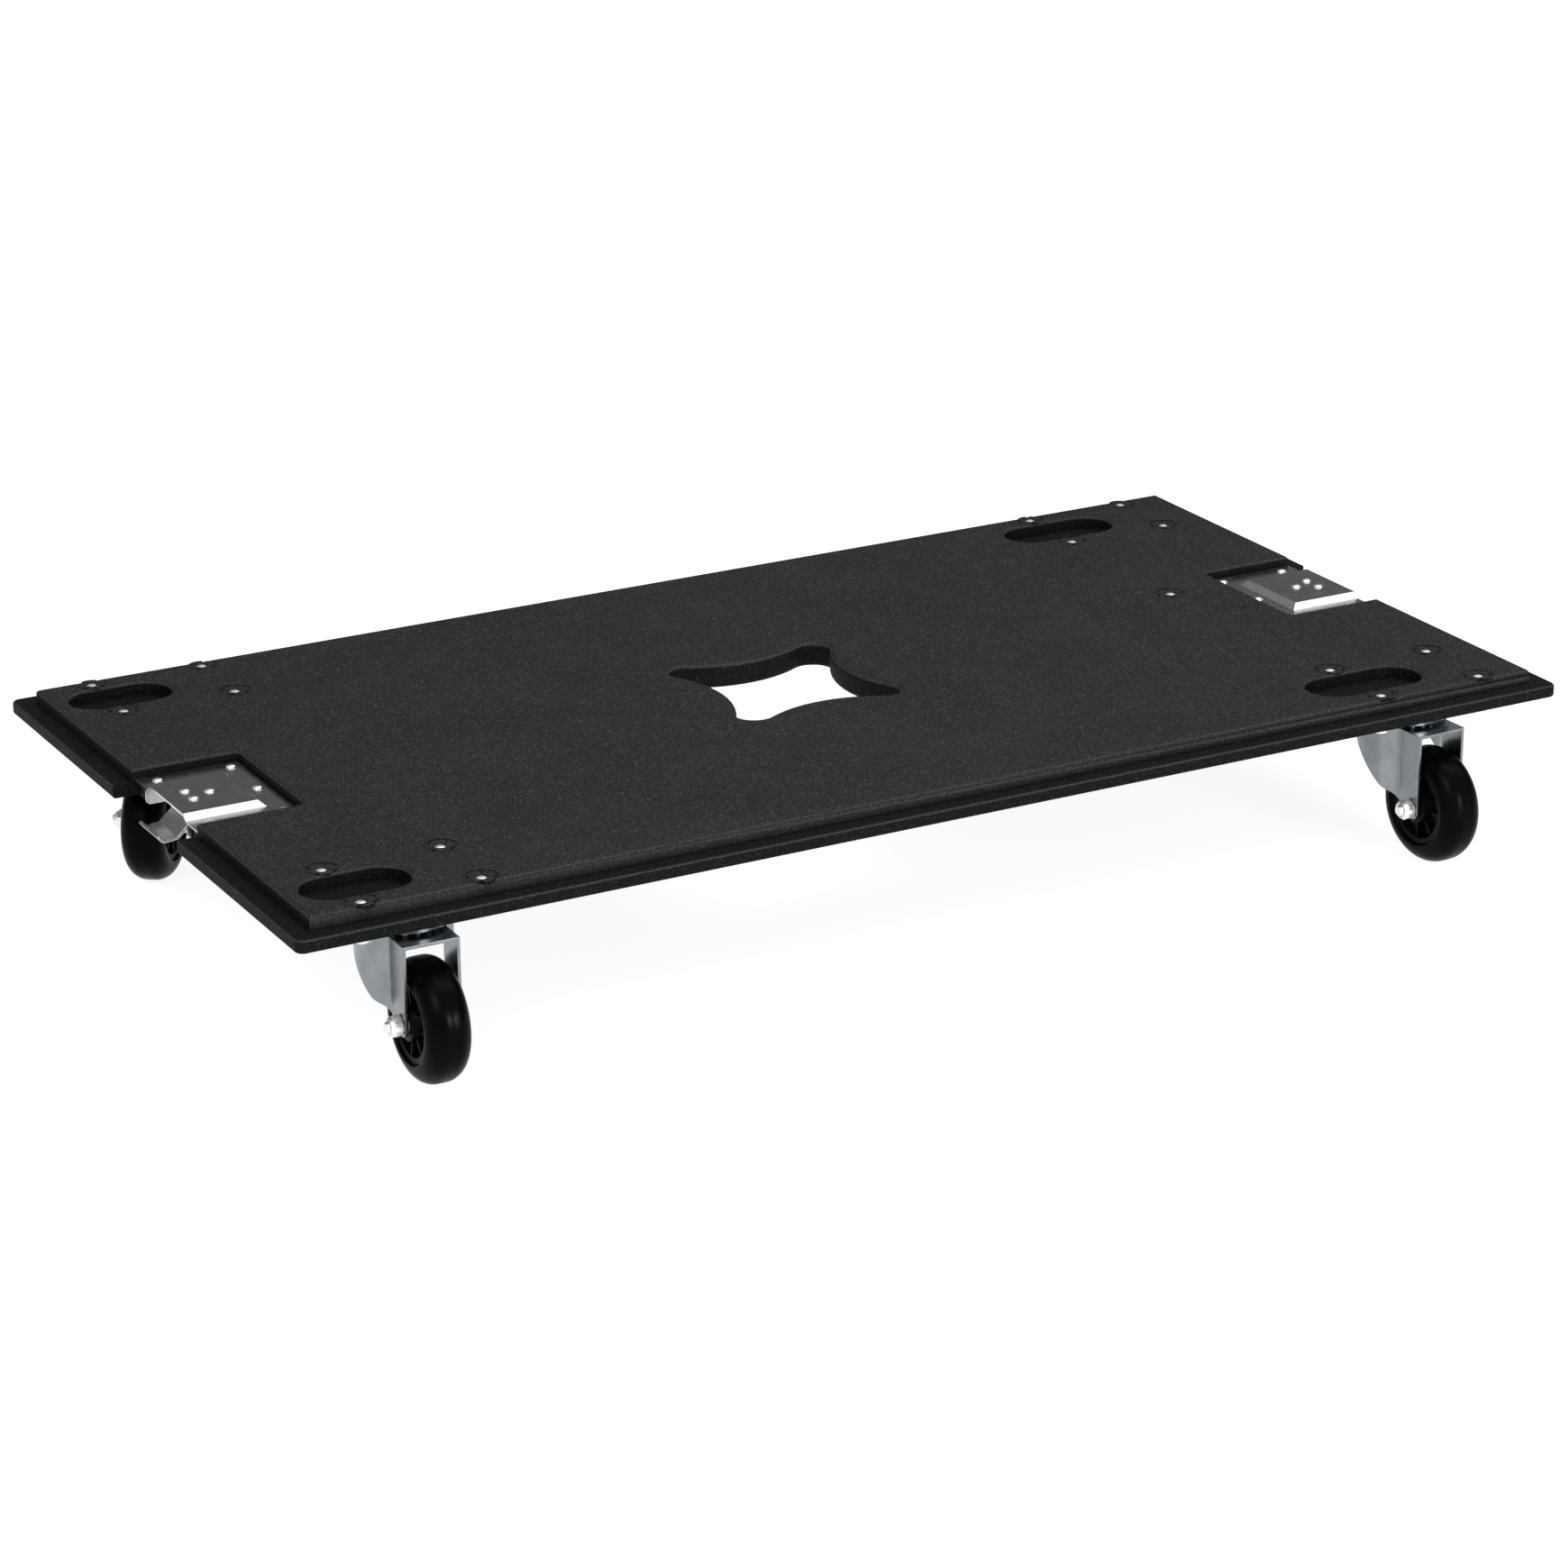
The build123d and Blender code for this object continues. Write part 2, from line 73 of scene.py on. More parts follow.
kingpins = {}
caster_place = {}
for corner in CORNERS:
    kingpin = Vector(joints[f"swivel_{corner}"]["pos_m"])
    axle = Vector(joints[f"wheel_{corner}"]["pos_m"])
    trail = Vector((axle.x - kingpin.x, axle.y - kingpin.y))
    kingpins[corner] = Vector((kingpin.x, kingpin.y, 0.0))
    caster_place[corner] = Matrix.Translation(kingpins[corner]) @ Matrix.Rotation(
        math.atan2(trail.y, trail.x), 4, "Z"
    )
caster_trail = trail.length
axle_place = Matrix.Translation((caster_trail, 0.0, axle_height)) @ Matrix.Rotation(math.pi / 2, 4, "X")

print(len(kingpins), "casters, trail", round(caster_trail / MM, 1), "mm")

# %% [markdown]
# ## Camera
# The view looks down a little from the front left, through a long lens that keeps the board's far
# edge nearly as long as its near one. The camera stands back along that direction, and is lowered
# a little so that the board sits above the middle of the frame.

# %% Camera
azimuth, elevation, roll = (math.radians(a) for a in (-28.29, 20.53, -0.55))
lens_mm, distance, lowered = 108.9, 3.2243, 0.0711
back = Vector((
    math.sin(azimuth) * math.cos(elevation),
    -math.cos(azimuth) * math.cos(elevation),
    math.sin(elevation),
))
level_right = (-back).cross(Vector((0, 0, 1))).normalized()
level_up = back.cross(level_right)
right = level_right * math.cos(roll) + level_up * math.sin(roll)
up = level_up * math.cos(roll) - level_right * math.sin(roll)
camera_data = bpy.data.cameras.new("camera")
camera_data.lens = lens_mm
camera_data.sensor_width = 36.0
camera_data.clip_end = 60.0
camera = bpy.data.objects.new("camera", camera_data)
bpy.context.scene.collection.objects.link(camera)
eye = Vector((0, 0, deck_top)) + back * distance - up * lowered
camera.matrix_world = Matrix((
    (right.x, up.x, back.x, eye.x),
    (right.y, up.y, back.y, eye.y),
    (right.z, up.z, back.z, eye.z),
    (0, 0, 0, 1),
))
bpy.context.scene.camera = camera
print("camera lens", lens_mm, "mm, at", [round(v, 2) for v in eye])

# %% [markdown]
# ## Colour and nodes
# Colours are written as the sRGB hex values that a colour picker shows. Shaders work in linear
# light, so one function turns them. One more adds a node: settings by name, and each input either
# a number or another node's output.

# %% Colour and node helpers
def linear(hex_colour):
    """An sRGB hex colour as linear red, green, blue and alpha."""
    values = [int(hex_colour[i:i + 2], 16) / 255 for i in (1, 3, 5)]
    return tuple(v / 12.92 if v <= 0.04045 else ((v + 0.055) / 1.055) ** 2.4 for v in values) + (1.0,)


def add(tree, kind, inputs=None, **settings):
    """A new node in the tree, with its settings, and inputs given as values or as output sockets."""
    node = tree.nodes.new(kind)
    for name, value in settings.items():
        setattr(node, name, value)
    for name, value in (inputs or {}).items():
        if isinstance(value, bpy.types.NodeSocket):
            tree.links.new(value, node.inputs[name])
        else:
            node.inputs[name].default_value = value
    return node


def new_material(name):
    """An empty material: its tree, its shader and the object's own coordinates in metres."""
    material = bpy.data.materials.new(name)
    material.use_nodes = True
    tree = material.node_tree
    tree.nodes.clear()
    shader = add(tree, "ShaderNodeBsdfPrincipled")
    add(tree, "ShaderNodeOutputMaterial", {"Surface": shader.outputs["BSDF"]})
    place = add(tree, "ShaderNodeTexCoord").outputs["Object"]
    return material, tree, shader, place


def per_metre(size_mm):
    """Noise scale whose blobs are about this many millimetres across."""
    return 1.0 / (size_mm * MM)


# %% [markdown]
# ## The board's black coating
# The board is birch plywood under a water-based structure paint, rolled on so thick that it dries
# in fine hard peaks. The eye gets an almost black surface with no clear reflection. Light is painted
# into its colour: grey painted glints on the peaks' tips, lighter painted highlight lines along the
# rounded arrises, and a flat top painted a little warmer and lighter than the edges and the pockets,
# which carry painted shade. The top's peaks get more painted glint. A trace of dust varies the tone
# at random.

# %% Structure paint
def structure_paint(name, lit_top_hex, shaded_side_hex, painted_highlight_hex):
    """Black textured coating: painted shade on its sides, painted highlights on its peaks' tips and on its
    arrises.
    """
    material, tree, shader, place = new_material(name)
    normal = add(tree, "ShaderNodeNewGeometry").outputs["Normal"]
    facing = add(tree, "ShaderNodeSeparateXYZ", {"Vector": normal}).outputs["Z"]
    level = add(tree, "ShaderNodeSeparateXYZ", {"Vector": place}).outputs["Z"]
    # The flat mask picks the upward top face, which gets the lighter painted-lit colour; all other faces
    # get the darker painted shade.
    upward = add(tree, "ShaderNodeMapRange", {"Value": facing, "From Min": 0.8, "From Max": 0.99})
    topmost = add(tree, "ShaderNodeMapRange", {
        "Value": level, "From Min": deck_top - 2.4 * MM, "From Max": deck_top - 1.2 * MM,
    })
    flat = add(tree, "ShaderNodeMath", {
        0: upward.outputs[0], 1: topmost.outputs[0],
    }, operation="MULTIPLY")
    tilt = add(tree, "ShaderNodeMath", {0: facing, 1: 0.6}, operation="SUBTRACT")
    off = add(tree, "ShaderNodeMath", {0: tilt.outputs[0]}, operation="ABSOLUTE")
    # Arris mask: faces tilted about halfway between top and side, which get a painted highlight line.
    arris = add(tree, "ShaderNodeMapRange", {
        "Value": off.outputs[0], "From Min": 0.38, "From Max": 0.05, "To Max": 0.5,
    })
    peaks = add(tree, "ShaderNodeTexNoise", {
        "Vector": place, "Scale": per_metre(PEAK_MM), "Detail": 2.0, "Roughness": 0.6,
    })
    lumps = add(tree, "ShaderNodeTexNoise", {"Vector": place, "Scale": per_metre(4.5), "Detail": 1.0})
    dust = add(tree, "ShaderNodeTexNoise", {"Vector": place, "Scale": per_metre(70.0), "Detail": 4.0})
    # Painted light: a lighter colour on the top, and darker painted shade on the sides and pockets.
    body = add(tree, "ShaderNodeMix", {
        0: flat.outputs[0], 6: linear(shaded_side_hex), 7: linear(lit_top_hex),
    }, data_type="RGBA")
    dusty = add(tree, "ShaderNodeMapRange", {
        "Value": dust.outputs[0], "From Min": 0.35, "From Max": 0.75, "To Min": 0.9, "To Max": 1.12,
    })
    shade = add(tree, "ShaderNodeVectorMath", {
        0: body.outputs[2], 3: dusty.outputs[0],
    }, operation="SCALE")
    # Painted glints: the peak tips get the lighter highlight colour, more strongly on the top.
    painted_glint_strength = add(tree, "ShaderNodeMapRange", {
        "Value": flat.outputs[0], "To Min": 0.14, "To Max": 0.52,
    })
    painted_peak_glints = add(tree, "ShaderNodeMapRange", {
        "Value": peaks.outputs[0], "From Min": 0.55, "From Max": 0.7, "To Max": painted_glint_strength.outputs[0],
    })
    # Painted highlight along the arrises, broken up by the peaks.
    painted_arris_highlight = add(tree, "ShaderNodeMath", {0: arris.outputs[0], 1: peaks.outputs[0]}, operation="MULTIPLY")
    some = add(tree, "ShaderNodeMath", {
        0: painted_peak_glints.outputs[0], 1: painted_arris_highlight.outputs[0],
    }, operation="ADD", use_clamp=True)
    colour = add(tree, "ShaderNodeMix", {
        0: some.outputs[0], 6: shade.outputs[0], 7: linear(painted_highlight_hex),
    }, data_type="RGBA")
    height = add(tree, "ShaderNodeMath", {0: peaks.outputs[0], 1: lumps.outputs[0]}, operation="ADD")
    bump = add(tree, "ShaderNodeBump", {
        "Height": height.outputs[0], "Strength": 0.7, "Distance": 0.8 * MM,
    })
    tree.links.new(colour.outputs[2], shader.inputs["Base Color"])
    tree.links.new(bump.outputs[0], shader.inputs["Normal"])
    shader.inputs["Roughness"].default_value = 0.66
    shader.inputs["Specular IOR Level"].default_value = 0.1
    return material


# The peaks stand about 0.6 mm apart on the real coating. They are drawn 1.3 mm apart so that they show.
PEAK_MM = 1.3
# The three colours are the painted-lit top, the painted-shade sides and the grey of the painted highlights.
deck_paint = structure_paint("rolled_structure_paint", "#201f1d", "#030405", "#5c5c5b")
nut_paint = structure_paint("structure_paint_over_steel", "#21201e", "#040506", "#525251")
print("coatings:", deck_paint.name, nut_paint.name)

# %% [markdown]
# ## Zinc plate
# Every steel part is zinc plated after pressing. The keeper and the casters are barrel plated, so
# the zinc is bright with a slightly cloudy crystal pattern about a centimetre across, and fine
# handling scratches spread its reflections. Rivets and bolts are small and tumbled, and look
# brighter. The passivation turns the caster's zinc a little blue.

# %% Zinc finishes
def zinc(name, dark_hex, light_hex, roughness, cloud_mm, scratch_mm):
    """Zinc-plated steel: a cloudy colour, and scratches that spread its shine."""
    material, tree, shader, place = new_material(name)
    cloud = add(tree, "ShaderNodeTexNoise", {
        "Vector": place, "Scale": per_metre(cloud_mm), "Detail": 4.0, "Roughness": 0.65,
    })
    colour = add(tree, "ShaderNodeMix", {
        0: cloud.outputs[0], 6: linear(dark_hex), 7: linear(light_hex),
    }, data_type="RGBA")
    spread = add(tree, "ShaderNodeMapRange", {
        "Value": cloud.outputs[0], "From Min": 0.3, "From Max": 0.7,
        "To Min": roughness - 0.03, "To Max": roughness + 0.05,
    })
    along = add(tree, "ShaderNodeMapping", {
        "Vector": place, "Rotation": (0.2, 0.3, 0.5), "Scale": (1, 9, 3),
    })
    scratch = add(tree, "ShaderNodeTexNoise", {
        "Vector": along.outputs[0], "Scale": per_metre(scratch_mm), "Detail": 3.0,
    })
    bump = add(tree, "ShaderNodeBump", {
        "Height": scratch.outputs[0], "Strength": 0.06, "Distance": 0.03 * MM,
    })
    tree.links.new(colour.outputs[2], shader.inputs["Base Color"])
    tree.links.new(spread.outputs[0], shader.inputs["Roughness"])
    tree.links.new(bump.outputs[0], shader.inputs["Normal"])
    shader.inputs["Metallic"].default_value = 1.0
    return material


keeper_zinc = zinc("barrel_zinc_plate", "#a8abad", "#c4c6c8", 0.2, 9.0, 6.0)
caster_zinc = zinc("blue_passivated_zinc_plate", "#6c7175", "#94999c", 0.24, 11.0, 6.0)
small_zinc = zinc("tumbled_zinc_rivet", "#d4d6d8", "#f4f5f6", 0.2, 3.0, 1.5)
bolt_zinc = zinc("zinc_plated_bolt", "#dcdddf", "#f6f7f7", 0.42, 3.0, 1.5)
ball_steel = zinc("ground_bearing_steel", "#c9cacc", "#e6e7e8", 0.12, 2.0, 1.0)
print("metals:", keeper_zinc.name, caster_zinc.name, small_zinc.name)

# %% [markdown]
# ## Rubber and nylon
# The tyre is black rubber, cured in a polished mould, so it is very dark with a soft streak of
# light, and a little brown where it has been handled. The hub is glass-filled nylon, moulded,
# duller and a little mottled where the fibre comes near the surface.

# %% Moulded finishes
def moulded(name, dark_hex, light_hex, roughness, cloud_mm, grain_mm, relief_mm, gloss):
    """A moulded part: a faint cloud of colour, an uneven sheen and a fine grain."""
    material, tree, shader, place = new_material(name)
    cloud = add(tree, "ShaderNodeTexNoise", {"Vector": place, "Scale": per_metre(cloud_mm), "Detail": 5.0})
    grain = add(tree, "ShaderNodeTexNoise", {"Vector": place, "Scale": per_metre(grain_mm), "Detail": 2.0})
    colour = add(tree, "ShaderNodeMix", {
        0: cloud.outputs[0], 6: linear(dark_hex), 7: linear(light_hex),
    }, data_type="RGBA")
    spread = add(tree, "ShaderNodeMapRange", {
        "Value": cloud.outputs[0], "From Min": 0.3, "From Max": 0.7,
        "To Min": roughness - 0.08, "To Max": roughness + 0.08,
    })
    bump = add(tree, "ShaderNodeBump", {
        "Height": grain.outputs[0], "Strength": 0.3, "Distance": relief_mm * MM,
    })
    tree.links.new(colour.outputs[2], shader.inputs["Base Color"])
    tree.links.new(spread.outputs[0], shader.inputs["Roughness"])
    tree.links.new(bump.outputs[0], shader.inputs["Normal"])
    shader.inputs["Specular IOR Level"].default_value = gloss
    return material


tyre_rubber = moulded("cured_black_rubber", "#010101", "#060504", 0.3, 22.0, 0.8, 0.04, 0.035)
hub_nylon = moulded("glass_filled_nylon", "#020203", "#08080a", 0.38, 9.0, 0.6, 0.05, 0.05)
print("mouldings:", tyre_rubber.name, hub_nylon.name)

# %% [markdown]
# ## Pressed and machined pieces, softened
# The board, the sheet metal and the races already have their exact shape in the engineering model,
# but its edges are razor sharp. A real edge always has a small radius that catches a line of light.
# Each piece is made from a copy of the model's mesh: the loose triangles are merged, flat areas
# become single faces, and every sharp edge gets a narrow round bevel. Weighted normals then keep
# the flat faces flat.

# %% Softened copies
def plain(obj):
    """The object's modifiers worked out into a plain mesh."""
    graph = bpy.context.evaluated_depsgraph_get()
    made = bpy.data.meshes.new_from_object(obj.evaluated_get(graph), depsgraph=graph)
    obj.modifiers.clear()
    obj.data = made
    return obj


def link(name, mesh, *materials):
    """A new object at the origin that holds the mesh."""
    obj = bpy.data.objects.new(name, mesh)
    bpy.context.scene.collection.objects.link(obj)
    if materials:
        mesh.materials.clear()
        for material in materials:
            mesh.materials.append(material)
    return obj


def smooth(mesh, angle):
    """Smooth shading, with edges sharper than the angle in degrees kept crisp."""
    mesh.shade_smooth()
    mesh.set_sharp_from_angle(angle=math.radians(angle))


def soften(node, edge_mm, material, name):
    """The model's mesh for one node, with its sharp edges rounded."""
    shape = bmesh.new()
    shape.from_mesh(frame["nodes"][node].data)
    bmesh.ops.remove_doubles(shape, verts=shape.verts, dist=0.002 * MM)
    bmesh.ops.dissolve_limit(
        shape, angle_limit=math.radians(0.5), verts=shape.verts, edges=shape.edges,
    )
    sharp = [
        edge for edge in shape.edges
        if edge.is_manifold and edge.calc_face_angle(0) > math.radians(30)
    ]
    bmesh.ops.bevel(shape, geom=sharp, offset=edge_mm * MM, offset_type="OFFSET", segments=2,
                    profile=0.5, affect="EDGES", clamp_overlap=True)
    bmesh.ops.triangulate(shape, faces=[face for face in shape.faces if len(face.verts) > 4])
    for face in shape.faces:
        face.material_index = 0
    mesh = bpy.data.meshes.new(name)
    shape.to_mesh(mesh)
    shape.free()
    smooth(mesh, 40)
    obj = link(name, mesh, material)
    weighted = obj.modifiers.new("flat faces stay flat", "WEIGHTED_NORMAL")
    weighted.keep_sharp = True
    return plain(obj)


def declare(obj, body, slot, *nodes):
    """The body the piece rides on, the slot of its finish, which is not used, and the model nodes it stands
    for, if any.
    """
    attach(obj, body)
    if nodes:
        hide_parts(*nodes)
    print(f"{obj.name}: {len(obj.data.polygons)} faces on {body}")


declare(soften("deck_board", 0.3, deck_paint, "board"), "board", "deck", "deck_board")

# %% [markdown]
# ## Latch keepers
# Each keeper is one pressing: a flange sunk in the board, a raised cover, and two cheeks folded
# down into the window. A thicker tongue is riveted under the cover, drops over the board's edge
# and curls up at its tip for the latch of the next piece to catch.

# %% Keeper plates and hooks
for end in ("left", "right"):
    plate = soften(f"keeper_plate_{end}", 0.35, keeper_zinc, f"keeper_pressing_{end}")
    declare(plate, "board", "keeper_zinc", f"keeper_plate_{end}")
    tongue = soften(f"keeper_hook_{end}", 0.5, keeper_zinc, f"keeper_tongue_{end}")
    declare(tongue, "board", "keeper_zinc", f"keeper_hook_{end}")

# %% [markdown]
# ## Forks, plates and races
# The fork is bent from one sheet round the crown, so its shape is taken from the model as it is.
# The top plate, the lower race and the kingpin are pressings and turnings treated the same way.

# %% Caster pressings
for corner in CORNERS:
    fork = soften(f"fork_{corner}", 0.4, caster_zinc, f"caster_fork_{corner}")
    declare(fork, f"swivel_{corner}", "caster_zinc", f"fork_{corner}")
    for node, edge_mm, piece in (
        ("caster_plate", 0.5, "caster_top_plate"),
        ("lower_race", 0.3, "caster_lower_race"),
        ("kingpin", 0.3, "caster_kingpin"),
    ):
        part = soften(f"{node}_{corner}", edge_mm, caster_zinc, f"{piece}_{corner}")
        declare(part, "board", "caster_zinc", f"{node}_{corner}")

# %% [markdown]
# ## Round pieces, ring by ring
# Rivets, nuts, bolts, tyres and hubs are all turned or rolled about an axis. Each is a stack of
# rings of points joined by faces. A ring may be a circle, or a hexagon whose corners are cut by
# a cone as on a real nut, or a circle with notches. Both ends close in a point.

# %% Ring helpers
def circle(radius, z, count=64):
    """A ring of points about Z."""
    return [Vector((radius * math.cos(a), radius * math.sin(a), z)) for a in turns(count)]


def turns(count):
    """Equally spaced angles, once round."""
    return [2 * math.pi * step / count for step in range(count)]


def hexagon(across, z, cone_z=None, count=72):
    """A hexagonal ring. Where a cone is given, its corners slope away from that level."""
    points = []
    for angle in turns(count):
        radius = across / 2 / math.cos((angle + math.pi / 6) % (math.pi / 3) - math.pi / 6)
        reach = radius - across / 2
        slope = reach * (cone_z or 0.0)
        points.append(Vector((radius * math.cos(angle), radius * math.sin(angle), z + slope)))
    return points


def skin(rings, name, ends="closed", angle=35):
    """A mesh through rings of equally many points, closed by points or joined round on itself."""
    shape = bmesh.new()
    rows = [[shape.verts.new(point) for point in ring] for ring in rings]
    pairs = list(zip(rows, rows[1:])) + ([(rows[-1], rows[0])] if ends == "joined" else [])
    for low, high in pairs:
        for a, b in zip(range(len(low)), list(range(1, len(low))) + [0]):
            shape.faces.new((low[a], low[b], high[b], high[a]))
    if ends == "closed":
        for row in (rows[0], rows[-1]):
            middle = shape.verts.new(sum((vert.co for vert in row), Vector()) / len(row))
            for a, b in zip(row, row[1:] + row[:1]):
                shape.faces.new((a, b, middle))
    bmesh.ops.recalc_face_normals(shape, faces=shape.faces)
    mesh = bpy.data.meshes.new(name)
    shape.to_mesh(mesh)
    shape.free()
    smooth(mesh, angle)
    return mesh


def islands(node):
    """The box of each separate solid in a model node, as (low corner, high corner)."""
    shape = bmesh.new()
    shape.from_mesh(frame["nodes"][node].data)
    bmesh.ops.remove_doubles(shape, verts=shape.verts, dist=0.002 * MM)
    seen, boxes = set(), []
    for start in shape.verts:
        if start in seen:
            continue
        seen.add(start)
        group, waiting = [], [start]
        while waiting:
            vert = waiting.pop()
            group.append(vert.co)
            for edge in vert.link_edges:
                other = edge.other_vert(vert)
                if other not in seen:
                    seen.add(other)
                    waiting.append(other)
        boxes.append((Vector(map(min, *group)), Vector(map(max, *group))))
    shape.free()
    return boxes


def middle_of(low, high):
    """The middle of a box seen from above, at floor level."""
    return Vector(((low.x + high.x) / 2, (low.y + high.y) / 2, 0.0))


print("rivets in one keeper:", len(islands("flange_rivets_right")) + len(islands("hook_rivets_right")))

# %% [markdown]
# ## One tree to place many
# Fasteners repeat, so one Geometry Nodes tree sets a piece on every point, each turned by a random
# angle from a fixed seed because nobody lines up a nut. A second tree sets pieces round a ring,
# each facing outwards, for bearing balls and hub ribs.

# %% Geometry Nodes trees
def new_tree(name, *inputs):
    """A geometry tree with its named inputs, one output, and its two end nodes."""
    tree = bpy.data.node_groups.new(name, "GeometryNodeTree")
    for label, kind in inputs:
        tree.interface.new_socket(label, in_out="INPUT", socket_type=kind)
    tree.interface.new_socket("Geometry", in_out="OUTPUT", socket_type="NodeSocketGeometry")
    given = add(tree, "NodeGroupInput").outputs
    made = add(tree, "NodeGroupOutput").inputs["Geometry"]
    return tree, given, made


def end_tree(tree, given, made, instances):
    """Realize the instances and give them the tree's material."""
    real = add(tree, "GeometryNodeRealizeInstances", {"Geometry": instances.outputs["Instances"]})
    painted = add(tree, "GeometryNodeSetMaterial", {
        "Geometry": real.outputs[0], "Material": given["Material"],
    })
    tree.links.new(painted.outputs[0], made)
    return tree


def scatter_tree():
    """The piece on every point, each turned by a random angle."""
    tree, given, made = new_tree(
        "set on each place", ("Geometry", "NodeSocketGeometry"), ("Piece", "NodeSocketObject"),
        ("Largest turn", "NodeSocketFloat"), ("Seed", "NodeSocketInt"), ("Material", "NodeSocketMaterial"),
    )
    info = add(tree, "GeometryNodeObjectInfo", {"Object": given["Piece"]})
    most = add(tree, "ShaderNodeCombineXYZ", {"Z": given["Largest turn"]})
    turn = add(tree, "FunctionNodeRandomValue", {"Max": most.outputs[0], "Seed": given["Seed"]},
               data_type="FLOAT_VECTOR")
    turn.inputs["Min"].default_value = (0, 0, 0)
    placed = add(tree, "GeometryNodeInstanceOnPoints", {
        "Points": given["Geometry"], "Instance": info.outputs["Geometry"], "Rotation": turn.outputs[0],
    })
    return end_tree(tree, given, made, placed)


def ring_tree():
    """The piece a number of times round a circle, each facing outwards."""
    tree, given, made = new_tree(
        "set round a ring", ("Geometry", "NodeSocketGeometry"), ("Piece", "NodeSocketObject"),
        ("Count", "NodeSocketInt"), ("Radius", "NodeSocketFloat"), ("Material", "NodeSocketMaterial"),
    )
    info = add(tree, "GeometryNodeObjectInfo", {"Object": given["Piece"]})
    ring = add(tree, "GeometryNodeMeshCircle", {"Vertices": given["Count"], "Radius": given["Radius"]})
    index = add(tree, "GeometryNodeInputIndex")
    step = add(tree, "ShaderNodeMath", {0: 2 * math.pi, 1: given["Count"]}, operation="DIVIDE")
    angle = add(tree, "ShaderNodeMath", {0: index.outputs[0], 1: step.outputs[0]}, operation="MULTIPLY")
    turn = add(tree, "ShaderNodeCombineXYZ", {"Z": angle.outputs[0]})
    placed = add(tree, "GeometryNodeInstanceOnPoints", {
        "Points": ring.outputs[0], "Instance": info.outputs["Geometry"], "Rotation": turn.outputs[0],
    })
    return end_tree(tree, given, made, placed)


def grow(name, tree, piece_mesh, points, **values):
    """One plain mesh made by a tree from a piece and its places."""
    piece = link(f"{name}_pattern", piece_mesh)
    host = bpy.data.meshes.new(name)
    host.from_pydata(points, [], [])
    obj = link(name, host)
    modifier = obj.modifiers.new(tree.name, "NODES")
    modifier.node_group = tree
    sockets = {s.name: s.identifier for s in tree.interface.items_tree if s.in_out == "INPUT"}
    modifier[sockets["Piece"]] = piece
    for label, value in values.items():
        modifier[sockets[label.replace("_", " ")]] = value
    plain(obj)
    bpy.data.objects.remove(piece)
    return obj


scatter = scatter_tree()
ring = ring_tree()
print("trees:", scatter.name, "and", ring.name)

# %% [markdown]
# ## T-nuts
# A T-nut is pressed into the board's top from above: a thin round flange with four prongs punched
# down out of its rim, and a threaded barrel. It is painted over with the board, so the eye finds
# only the ring of its edge and the four dark notches.

# %% T-nuts
nut_boxes = islands("tee_nuts")
nut_low, nut_high = nut_boxes[0]
flange_radius = (nut_high.x - nut_low.x) / 2
flange_mm = 1.5
barrel_radius, bore_radius = 5.0 * MM, 4.0 * MM
notch_depth, notch_half = 2.3 * MM, 0.13


def notched(radius, z, depth):
    """A circle with four prong notches cut into it."""
    points = []
    for angle in turns(96):
        off = abs((angle + math.pi / 4) % (math.pi / 2) - math.pi / 4)
        reach = radius - depth * max(0.0, min(1.0, (notch_half - off) / 0.035 + 0.5))
        points.append(Vector((reach * math.cos(angle), reach * math.sin(angle), z)))
    return points


def on_nut(radius, down_mm):
    """A circle this far below the flange's top."""
    return circle(radius, nut_high.z - down_mm * MM, 96)


nut_rings = [
    on_nut(bore_radius, 0.5), on_nut(bore_radius + 0.5 * MM, 0.02), on_nut(bore_radius + 0.9 * MM, 0.0),
    notched(flange_radius - 0.5 * MM, nut_high.z, notch_depth),
    notched(flange_radius - 0.12 * MM, nut_high.z - 0.12 * MM, notch_depth),
    notched(flange_radius, nut_high.z - 0.45 * MM, notch_depth),
    notched(flange_radius, nut_high.z - flange_mm * MM, notch_depth),
    on_nut(barrel_radius, flange_mm + 0.01), circle(barrel_radius, nut_low.z, 96),
    circle(bore_radius, nut_low.z, 96),
]
nut_mesh = skin(nut_rings, "tee_nut", ends="joined")
nut_spots = [middle_of(*box) for box in nut_boxes]
nuts = grow("board_tee_nuts", scatter, nut_mesh, nut_spots, Largest_turn=2 * math.pi, Seed=4,
            Material=nut_paint)
declare(nuts, "board", "sunk_nuts", "tee_nuts")

# %% [markdown]
# ## Caster bolts and washers
# Each caster hangs on four hexagon bolts pushed up from below. The head's corners are cut by
# a cone when it is forged, and the far end, seen in the T-nut from above, is rounded.

# %% Bolts and washers
def bolt_mesh(low, high, name):
    """A hexagon bolt standing on its head, from its model box."""
    across = min(high.x - low.x, high.y - low.y)
    head_top = low.z + HEAD_MM * MM
    radius = 3.95 * MM
    rings = [
        circle(across * 0.3, low.z + 0.15 * MM, 72), circle(across * 0.42, low.z, 72),
        circle(across * 0.47, low.z + 0.05 * MM, 72), hexagon(across, low.z + 0.45 * MM, 0.55),
        hexagon(across, head_top - 0.2 * MM, 0.0), hexagon(across * 0.985, head_top, 0.0),
        circle(radius + 0.4 * MM, head_top, 72), circle(radius, head_top + 0.4 * MM, 72),
    ]
    for inwards_mm, down_mm in ((0.0, 1.2), (0.6, 0.7), (1.4, 0.3), (2.4, 0.07), (3.4, 0.0)):
        rings.append(circle(radius - inwards_mm * MM, high.z - down_mm * MM, 72))
    return skin(rings, name)


